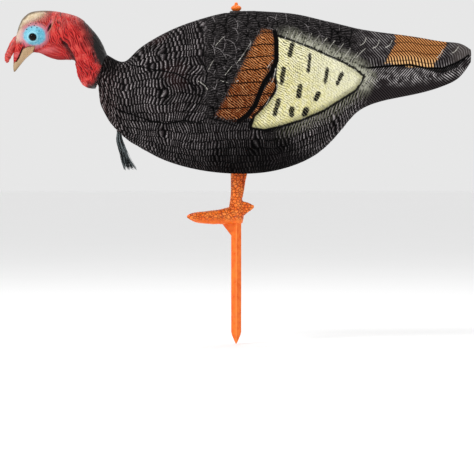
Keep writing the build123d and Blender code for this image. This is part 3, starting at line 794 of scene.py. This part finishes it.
def head_material():
    """Painted vinyl: red folds, a blue eye patch, a cream crown, a horn-coloured bill and a dark nape, with
    painted shade in the folds, the throat crease, under the chin, at the bill's outline and towards the nape,
    and painted highlights on the fold ridges.
    """
    g = Graph("painted_vinyl", 0.36, 0.22)
    x, z, side = g.x, g.z, abs(g.y)
    fine, blotch, mid = g.noise(650, 5, 0.65), g.noise(38, 4, 0.6), g.noise(150, 4, 0.6)
    sway = mid - 0.5
    fold, jaw = g.field("fold") + sway * 0.25, g.field("jaw")
    # Paler, mottled pink towards the top of the head
    paler_top = g.ramp(z - x * 0.35, 455, 495) * g.ramp(mid, 0.35, 0.7)
    wattle = g.ramp(jaw, 0, 5) * g.ramp(jaw, 16, 7) * g.ramp(x, -322, -345)
    red = g.layers(
        g.mix(g.ramp(blotch, 0.3, 0.7), (0.34, 0.005, 0.007), (0.50, 0.012, 0.012)),
        # Painted shade in the fold valleys and a painted highlight on the fold ridges
        (g.ramp(fold, 0.72, 0.30) * 0.92, (0.075, 0.0015, 0.0025)),
        (g.ramp(fold, 0.90, 1.05) * 0.5, (0.78, 0.12, 0.09)),
        (paler_top * 0.5, (0.44, 0.15, 0.12)),
        (wattle * 0.5, (0.66, 0.16, 0.17)),
    )

    cream = g.mix(g.ramp(mid, 0.3, 0.7), (0.46, 0.34, 0.20), (0.69, 0.58, 0.42))
    crown, behind = g.field("crown") + sway * 9, g.ramp(x, -372, -342)
    hair = g.ramp(g.wave((x * 0.9 + z * 0.35 + sway * 6) / 1.9), 0.50, 0.85)
    hair = hair.larger(g.ramp(g.cells(430), 0.42, 0.22))
    border = g.ramp(crown, -11 - behind * 10, -2) * g.ramp(crown, 11, 3)
    forehead = g.ramp(x + sway * 8, -386, -396) * g.ramp(z, 364, 354) * g.ramp(z, 330, 342)
    parting = g.ramp(side + sway * 6, 13, 8) * g.ramp(z, 345, 360) * g.ramp(x, -322, -350)

    blue_edge, eye = g.field("blue") + sway * 6, g.field("eye")
    blue = g.mix(g.ramp((blotch + mid) * 0.5, 0.4, 0.62), (0.085, 0.35, 0.48), (0.22, 0.54, 0.66))
    ear, ear_side = g.field("ear"), g.field("ear_side")
    inside_ear = g.mix(g.ramp(z, 356, 362), (0.10, 0.008, 0.020), (0.012, 0.002, 0.003))

    beak = g.field("beak") + sway * 2
    on_beak = g.ramp(beak, 0.9, -0.9)
    horn = g.mix(g.ramp(x - z * 0.4, -524, -497), (0.42, 0.29, 0.17), (0.58, 0.38, 0.20))
    horn = g.mix(g.ramp(mid, 0.45, 0.7) * 0.35, horn, (0.30, 0.22, 0.10))
    # Mask for painted shade under the chin line
    under = g.ramp(g.field("chin"), 9, 0) * g.ramp(x, -376, -368) * g.ramp(x, -300, -306)
    nape = g.field("nape") + sway * 14

    color = g.layers(
        red,
        (g.ramp(crown, 5, -8 - behind * 7), cream),
        (hair * border * (behind * 0.3 + 0.6), (0.045, 0.026, 0.024)),
        (forehead * 0.85, (0.64, 0.48, 0.38)),
        (parting * (hair * 0.4 + 0.6), (0.055, 0.042, 0.026)),
        (g.ramp(blue_edge, 9, 2) * g.ramp(crown, -12, 4) * 0.5, (0.50, 0.24, 0.31)),
        (g.ramp(blue_edge, 2.0, -4.0), blue),
        (g.ramp(abs(eye - 9.2), 2.0, 0.6) * 0.5, (0.36, 0.66, 0.74)),
        (g.ramp(eye, 7.0, 6.2), (0.02, 0.03, 0.035)),
        (g.ramp(g.field("dots"), 1.6, 0.7), (0.012, 0.014, 0.02)),
        (g.ramp(ear, 2.6, 1.2) * g.ramp(ear_side, 2, -3) * 0.7, (0.46, 0.10, 0.18)),
        (g.ramp(ear, 2.4, 1.2) * g.ramp(ear_side, 0, 3) * 0.75, (0.22, 0.15, 0.10)),
        (g.ramp(ear + sway * 0.5, 1.35, 0.65), inside_ear),
        (on_beak, horn),
        # Painted shade on the bill where it turns away towards its outline
        (g.ramp(side + sway * 3, 5.5, 1.0) * on_beak * 0.6, (0.13, 0.07, 0.035)),
        (g.ramp(abs(beak), 1.3, 0.3) * 0.6, (0.09, 0.025, 0.015)),
        (g.ramp(g.field("mouth"), 1.7, 0.7), (0.025, 0.006, 0.006)),
        # Painted shade in the throat crease and under the chin
        (g.ramp(g.field("throat"), 8.0, 0.4) * 0.9, (0.030, 0.001, 0.002)),
        (under * 0.6, (0.12, 0.002, 0.004)),
        # Darker red towards the nape: partly the black nape paint blending in and partly painted shade
        (g.ramp(nape, 30, 5) * g.ramp(z, 300, 350) * 0.9, (0.060, 0.012, 0.011)),
        (g.ramp(nape, 11.0, -3.0), (0.005, 0.004, 0.004)),
    )
    return g.finish(color, fine * 0.35 + mid * 0.5, 0.8, g.ramp(mid, 0.3, 0.7, 0.28, 0.46))


def build_head():
    """The head and neck moulding, from the collar round to the bill's tip."""
    rows, columns = 301, 300
    back, front, half = (np.array([rib[i] for rib in RIBS], float) for i in range(3))
    steps = np.concatenate([[0], np.cumsum(np.hypot(*np.diff((back + front) / 2, axis=0).T))])
    along = np.linspace(0, steps[-1], rows)
    back, front = (np.stack([spline(steps, p[:, k])(along) for k in (0, 1)], axis=1) for p in (back, front))
    middle, reach = (back + front) / 2, (back - front) / 2
    turn = round_angles(columns)
    frontness = smooth(-np.cos(turn), 0.1, 0.95)[None, :]
    flap = (smooth(along, steps[4] - 6, steps[5]) * smooth(along, steps[8] + 4, steps[7] - 4))[:, None]
    side = spline(steps, half)(along)[:, None] * np.sin(turn) * (1 - 0.62 * flap * frontness)
    x, z = (middle[:, k:k + 1] + reach[:, k:k + 1] * np.cos(turn) for k in (0, 1))
    grid = np.stack([x, side, z], axis=2)
    normals = grid_normals(np.concatenate([grid[:, -2:], grid, grid[:, :2]], axis=1))[:, 2:-2]
    outward = np.sign((normals * (grid - grid.mean(axis=1, keepdims=True))).sum())
    relief, fields = head_relief(x, z, side)
    taper = smooth(along, steps[-1], steps[-1] - 14)[:, None] * smooth(along, 0, 3)[:, None]
    grid = grid + outward * normals * (relief * taper)[:, :, None]

    # The neck's open end turns in, as a recess round the plug
    lean = math.hypot(1, COLLAR_SLOPE)
    axis, across = np.array([-1, 0, COLLAR_SLOPE]) / lean, np.array([COLLAR_SLOPE, 0, 1]) / lean
    centre = np.array([COLLAR_X, 0, COLLAR_Z]) + 0.6 * axis
    ring = centre + PLUG_BORE * (np.cos(turn)[:, None] * across + np.sin(turn)[:, None] * np.array([0, 1, 0]))
    recess = np.concatenate([ring + PLUG_DEPTH * axis, ring])
    flip = outward < 0
    faces = grid_faces(rows + 2, columns, closed=True, flip=flip)
    last = range((rows + 1) * columns, (rows + 2) * columns)
    faces.append(tuple(last if flip else last[::-1]))
    mesh = make_mesh("head_skin", np.concatenate([recess, grid.reshape(-1, 3)]), faces)
    far = np.full(len(recess), 30.0)  # out of reach of the paint round any line
    fields = {key: np.concatenate([far, values.ravel()]) for key, values in fields.items()}
    add_piece("head_skin", mesh, [head_material()], "head", "head_and_neck", "vinyl", **fields)


build_head()


# ---- the snood

# X, Y, Z and radius down the snood
SNOOD = [
    (-394, 0, 347, 5), (-399, 0, 344, 7), (-405, -0.5, 338, 7.5), (-412, -1.5, 327, 7.3),
    (-417.5, -3, 316, 6.6), (-420.5, -4, 307, 5.6), (-421.4, -4.5, 300.5, 3.8), (-421.5, -4.5, 297.4, 1.2),
]


def snood_material():
    """Red wrinkled skin with painted shade in its folds and a painted highlight on their ridges."""
    g = Graph("snood_skin", 0.38)
    fine, mid, fold = g.noise(700, 5, 0.65), g.noise(120, 4, 0.6), g.field("fold")
    color = g.mix(g.ramp(mid, 0.3, 0.7), (0.38, 0.012, 0.012), (0.58, 0.05, 0.035))
    # Painted shade in the folds, then a painted highlight on the ridges
    color = g.mix(g.ramp(fold, 0.75, 0.3) * 0.7, color, (0.13, 0.004, 0.005))
    color = g.mix(g.ramp(fold, 0.85, 1.0) * 0.4, color, (0.75, 0.22, 0.16))
    return g.finish(color, fine * 0.4 + mid * 0.5, 0.5, g.ramp(mid, 0.3, 0.7, 0.3, 0.46))


def build_snood():
    """A wrinkled flap that hangs over the bill from its peg."""
    steps = np.arange(len(SNOOD), dtype=float)
    fine = np.linspace(0, steps[-1], 70)
    x, y, z, radius = (spline(steps, values)(fine) for values in zip(*SNOOD))
    grid, out = tube(np.stack([x, y, z], axis=1), np.maximum(radius, 0.8), 56)
    row, column = np.indices(grid.shape[:2])
    along, round_it = row * 0.9, np.minimum(column, grid.shape[1] - column) * 0.8
    folds = 1 - np.abs(value_noise(along, round_it * 0.6, 4.0, 41))
    grid = grid + out * (1.1 * (folds ** 2 - 0.55) * smooth(along, 62, 55))[:, :, None]
    mesh = make_mesh("snood_skin", *capped(grid))
    add_piece("snood_skin", mesh, [snood_material()], "head", "snood", "vinyl", fold=folds)


build_snood()


# ---- the beard

# Z, front X, back X, half width, as the beard spreads towards its end
BEARD = [
    (173, -219, -213, 2.8), (156, -221, -209.5, 4.5), (138, -217.5, -202, 6), (118, -211.5, -193.5, 7.5),
    (99, -204, -182.5, 9),
]
BEARD_TOP, BEARD_END = 173.5, 99.0
BRISTLES, LOCKS = 210, 7


def bristle_material():
    """Dark fibres, some of them paler than others."""
    g = Graph("bristle_fibre", 0.45, 0.1)
    streak = g.noise(300, 3, 0.6, stretch=(1.0, 1.0, 0.12))
    paleness = g.ramp(g.field("shade") * 0.75 + streak * 0.25, 0.53, 0.92)
    return g.finish(g.mix(paleness, (0.0015, 0.002, 0.002), (0.25, 0.29, 0.30)), streak, 0.15)


def build_beard():
    """A beard of separate tapered bristles, gathered into locks that part towards the ends."""
    level, front, back, half = (np.array(column)[::-1] for column in zip(*BEARD))
    share = np.linspace(0, 1, 15)
    gather = smooth(share, 0.35, 1.0)[:, None]
    solids, shade = [], []
    for k in range(BRISTLES):
        own = RNG.normal(0, 0.5, 2)
        own /= max(1.0, float(np.hypot(*own)))
        which = k % LOCKS
        lock = np.array([2 * which / (LOCKS - 1) - 1, 0.75 * (-1) ** which * (which % 3) / 2])
        end = BEARD_END + abs(RNG.normal(0, 3.5)) + 4.0 * RNG.random() + 3.0 * (which % 2)
        drift, thick = RNG.normal(0, 0.7, 2), RNG.uniform(0.38, 0.60)
        z = BEARD_TOP + (end - BEARD_TOP) * share
        place = own * (1 - gather) + (lock + own * 0.13) * gather
        at_front, at_back = np.interp(z, level, front), np.interp(z, level, back)
        x = (at_front + at_back) / 2 + place[:, 0] * (at_back - at_front) / 2
        y = place[:, 1] * np.interp(z, level, half)
        path = np.stack([x + drift[0] * share ** 2, y + drift[1] * share ** 2, z], axis=1)
        solids.append(capped(tube(path, thick * (1 - 0.72 * share ** 2), 5)[0]))
        shade.append(np.full(len(solids[-1][0]), RNG.random()))
    mesh = make_mesh("beard_bristles", *merged(solids))
    shades = np.concatenate(shade)
    add_piece("beard_bristles", mesh, [bristle_material()], "beard", "beard", "bristle", shade=shades)


build_beard()


# ---- the foot and spike

def orange_material(name, scaly):
    """Glossy orange plastic, with moulded scales, painted shade in the grooves between them and in a cleft
    behind the shank where scaly is true, and a painted highlight along the spike's front and back ridges
    where it is not.
    """
    g = Graph(name, 0.32, 0.3)
    fine, mid = g.noise(900, 4, 0.6), g.noise(90, 4, 0.6)
    color = g.mix(g.ramp(mid, 0.3, 0.7), (0.78, 0.115, 0.006), (0.90, 0.190, 0.014))
    height, depth = fine * 0.3 + mid * 0.4, 0.35
    if scaly:
        edges = g.cells(150, feature="DISTANCE_TO_EDGE", stretch=(1.0, 1.0, 1.25))
        plate = g.ramp(edges, 0.01, 0.12)
        on_foot = g.ramp(g.z, 4.0, 14.0)
        behind = abs(g.x - 12.5 - g.ramp(g.z, 60, 118) * 2.5)
        cleft = g.ramp(behind, 2.6, 0.6) * g.ramp(g.z, 44, 62)
        # Painted shade in the grooves between the scales and in the cleft behind the shank
        dark = ((1 - plate) * on_foot * 0.8).larger(cleft * 0.85)
        color = g.mix(dark, color, (0.30, 0.028, 0.001))
        color = g.mix(plate * on_foot * g.ramp(mid, 0.45, 0.65) * 0.45, color, (0.98, 0.32, 0.07))
        height = height * 0.4 + plate * on_foot
        depth = 1.1
    else:
        # Painted highlight along the spike's front and back ridges
        ridge = g.ramp(abs(g.x), 1.1, 0.3) * g.ramp(g.z, 2, -2)
        color = g.mix(ridge * 0.45, color, (1.0, 0.40, 0.11))
    worn = g.ramp(g.noise(25, 5, 0.7), 0.56, 0.72)
    color = g.mix(worn * 0.25, color, (0.85, 0.28, 0.08))
    return g.finish(color, height, depth, g.ramp(mid, 0.3, 0.7, 0.26, 0.40))


# How far out, bottom, top and half width along the front toes and the hind toe
TOE = [
    (-6, 5, 34, 10), (14, 1.5, 32, 9.8), (28, 0.4, 28.5, 8.8), (36, 0.9, 27, 8), (46, 0.6, 26, 8.2),
    (56, 1.4, 24.5, 7.3), (67, 2.2, 23.5, 6.9), (75, 4, 22.5, 5.4), (82, 7, 21, 4), (88, 10.5, 18.5, 2.6),
    (91, 12.5, 16.5, 1),
]
HIND_TOE = [
    (-4, 8, 46, 7.5), (8, 12.5, 45, 7.2), (16, 17.5, 42, 6.2), (22, 22.5, 40.5, 5.4), (28, 26.5, 37.5, 3.8),
    (33, 31, 35, 1.2),
]
FRONT_HEADINGS = (153, 180, 207)
MELT_SIZE = 0.95  # the fineness at which the foot's parts are melted together
# Z and radius up the shank
SHANK = [(2, 11.5), (10, 13.4), (28, 13.6), (40, 12.2), (53, 10.5), (70, 10), (94, 10.3), (118, 11)]
# X, Z and half width at each corner of the flat webs: the tendon behind the shank, the gusset over the spike
TENDON = [
    (4, 42, 3.2), (12, 50, 3.6), (15, 66, 3.9), (17, 80, 4.2), (20, 92, 4.5), (20.5, 99, 4.4), (14, 110, 4),
    (6, 115, 3),
]
GUSSET = [(-28, 4, 3), (-8, -22, 3), (-3, -22, 3), (-3, 4, 3)]
SPIKE_WIDE, SPIKE_THICK, SPIKE_BEVEL = 10.3, 7.0, 0.10  # half sizes, and the bevel as a share of a side
# Z and scale of the spike's section, from its tip
SPIKE_LEVELS = [
    (-220, 0.04), (-219.4, 0.12), (-213, 0.45), (-204, 0.86), (-198, 1), (-130, 1), (-60, 1), (2, 1),
    (6, 0.96),
]


def toe(stations, heading):
    """A toe lofted outwards at a heading in degrees about the stake, flat below and ridged across the top."""
    reach, bottom, top, half = zip(*stations)
    fine = np.linspace(reach[0], reach[-1], 60)
    low, high, wide = (spline(reach, values)(fine) for values in (bottom, top, half))
    turn = round_angles(28)
    rise = np.cos(turn)
    flat = np.where(rise < 0, -np.abs(rise) ** 0.75, rise)
    cos_h, sin_h = math.cos(math.radians(heading)), math.sin(math.radians(heading))
    rings = []
    for d, z0, z1, w in zip(fine, low, high, wide):
        across = max(w, 0.6) * np.sin(turn)
        ridge = 0.35 * math.sin(d * 1.25) * smooth(rise, 0.1, 0.8)
        up = (z0 + z1) / 2 + (z1 - z0) / 2 * flat + ridge
        rings.append(np.stack([d * cos_h - across * sin_h, d * sin_h + across * cos_h, up], axis=1))
    return capped(rings, flip=True)


def shank():
    """The leg above the toes, a round bar of changing radius."""
    turn = round_angles(40)
    level, radius = zip(*SHANK)
    fine = np.linspace(level[0], level[-1], 70)
    levels = zip(fine, spline(level, radius)(fine))
    return capped([np.stack([r * np.cos(turn), r * np.sin(turn), z + 0 * turn], axis=1) for z, r in levels])


def web(corners):
    """A flat-sided solid from corners given as X, Z and half width."""
    count = len(corners)
    points = [(x, side * w, z) for side in (1, -1) for x, z, w in corners]
    faces = [tuple(range(count)), tuple(range(2 * count - 1, count - 1, -1))]
    faces += [(k, k + count, (k + 1) % count + count, (k + 1) % count) for k in range(count)]
    return np.array(points, float), faces


def build_foot():
    """The scaled shank and toes, melted into one moulding."""
    toes = [toe(TOE, heading) for heading in FRONT_HEADINGS] + [toe(HIND_TOE, 0)]
    solids = merged([shank(), *toes, web(TENDON), web(GUSSET)])
    rough = add_object("foot_parts", make_mesh("foot_parts", *solids))
    melt = rough.modifiers.new("melt", "REMESH")
    melt.mode, melt.voxel_size = "VOXEL", MELT_SIZE * MM
    soften = rough.modifiers.new("soften", "SMOOTH")
    soften.factor, soften.iterations = 0.5, 5
    bpy.context.view_layer.update()
    melted = bpy.data.meshes.new_from_object(rough.evaluated_get(bpy.context.evaluated_depsgraph_get()))
    bpy.data.objects.remove(rough)
    material = orange_material("orange_scaled", True)
    add_piece("foot_moulding", melted, [material], "stake", "leg_stake", "orange_plastic")


def build_spike():
    """The ground spike: a ridged diamond bar with a tapered point."""
    corners = np.array([(SPIKE_WIDE, 0), (0, SPIKE_THICK), (-SPIKE_WIDE, 0), (0, -SPIKE_THICK)])
    rings = []
    for z, scale in SPIKE_LEVELS:
        ring = []
        for k, corner in enumerate(corners):
            for beside in (corners[k - 1], corners[(k + 1) % 4]):
                ring.append((*(corner + (beside - corner) * SPIKE_BEVEL) * scale, z))
        rings.append(np.array(ring))
    mesh = make_mesh("ground_spike", *capped(rings))
    material = orange_material("orange_plain", False)
    add_piece("ground_spike", mesh, [material], "stake", "leg_stake", "orange_plastic")
    mesh.set_sharp_from_angle(angle=math.radians(20))


build_foot()
build_spike()


# ---- CAD pieces that keep their shape

def eye_material():
    """Glossy dark glass: a brown-black iris round a black pupil."""
    g = Graph("glass_eye", 0.10, 0.10)
    across, up = g.x - EYE_X, g.z - EYE_Z
    away = g.math("SQRT", across * across + up * up)
    iris = g.mix(g.noise(420, 3, 0.6), (0.002, 0.0015, 0.001), (0.010, 0.005, 0.003))
    return g.finish(g.mix(g.ramp(away, 3.4, 3.9), (0.002, 0.002, 0.002), iris))


# Material, grey tone and roughness of the black plastic pieces
BLACK_PLASTIC = {
    "back_grommet": ("grommet_plastic", 0.012, 0.45), "grommet_washer": ("washer_plastic", 0.015, 0.5),
    "collar_ring": ("collar_plastic", 0.012, 0.5), "neck_plug": ("plug_plastic", 0.016, 0.5),
    "beard_ferrule": ("ferrule_plastic", 0.012, 0.5), "beard_pin": ("pin_plastic", 0.012, 0.4),
}
kept = {node: plain_material(name, (tone,) * 3, rough) for node, (name, tone, rough) in BLACK_PLASTIC.items()}
kept["eye_left"] = kept["eye_right"] = eye_material()
kept["top_knob"] = orange_material("orange_knob", False)
kept["plug_retainer"] = plain_material("spring_steel", (0.45, 0.45, 0.46), 0.3, metallic=1.0)
kept["post"] = plain_material("post_rod", (0.03, 0.03, 0.032), 0.4, 1600)
for node, material in kept.items():
    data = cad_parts[node].data
    data.materials.clear()
    data.materials.append(material)


# ---- floor, light and camera

FLOOR_Z, FLOOR_RADII = -0.2206, (0.6, 1.5, 4, 12, 40)  # metres; it lies just under the spike's tip
LENS, SENSOR, VIEW_WIDTH = 200, 36, 0.874  # a long lens, in mm, that takes in this width, in metres
CAMERA_RISE, CAMERA_AIM = math.radians(1.2), Vector((0.0015, 0, -0.0065))
LIGHT_AIM = Vector((0, 0, 0.2))
# Name, place, diameter and watts
LIGHTS = [
    ("key", (-2.0, -1.9, 2.4), 1.1, 58), ("fill", (2.0, -2.8, 0.8), 2.0, 7),
    ("top", (0.1, 0.4, 2.8), 1.4, 12), ("back", (0.6, 1.6, 3.0), 1.8, 12),
]


def build_floor():
    """A wide pale disc, in rings that grow outwards."""
    g = Graph("pale_floor", 0.75)
    tone = g.mix(g.noise(3.0, 3, 0.5), (0.95, 0.95, 0.95), (0.97, 0.97, 0.97))
    made = bmesh.new()
    turn = round_angles(96)
    rings = []
    for radius in FLOOR_RADII:
        rings.append([made.verts.new((radius * math.cos(a), radius * math.sin(a), FLOOR_Z)) for a in turn])
    centre = made.verts.new((0, 0, FLOOR_Z))
    for k in range(len(turn)):
        after = (k + 1) % len(turn)
        made.faces.new((centre, rings[0][k], rings[0][after]))
        for low, high in zip(rings[:-1], rings[1:]):
            made.faces.new((low[k], high[k], high[after], low[after]))
    mesh = bpy.data.meshes.new("floor")
    made.to_mesh(mesh)
    made.free()
    mesh.materials.append(g.finish(tone, g.noise(140, 3), 0.05))
    add_object("floor", mesh)


def build_lights():
    """Four soft discs and an even pale surround."""
    for name, place, size, watts in LIGHTS:
        data = bpy.data.lights.new(name, "AREA")
        data.shape, data.size, data.energy = "DISK", size, watts
        obj = add_object(name, data)
        obj.location = place
        obj.rotation_euler = (LIGHT_AIM - Vector(place)).to_track_quat("-Z", "Y").to_euler()
    world = bpy.data.worlds.new("studio")
    world.use_nodes = True
    background = world.node_tree.nodes["Background"]
    background.inputs["Color"].default_value = (1, 1, 1, 1)
    background.inputs["Strength"].default_value = 0.8
    bpy.context.scene.world = world


def build_camera():
    """Level with the bird's left side, with a long lens."""
    data = bpy.data.cameras.new("camera")
    data.lens, data.sensor_width, data.clip_end = LENS, SENSOR, 200
    obj = add_object("camera", data)
    distance = VIEW_WIDTH * LENS / SENSOR
    obj.location = CAMERA_AIM + Vector((0, -math.cos(CAMERA_RISE), math.sin(CAMERA_RISE))) * distance
    obj.rotation_euler = (math.pi / 2 - CAMERA_RISE, 0, 0)
    bpy.context.scene.camera = obj


build_floor()
build_lights()
build_camera()
bpy.context.scene.view_settings.view_transform = "Standard"
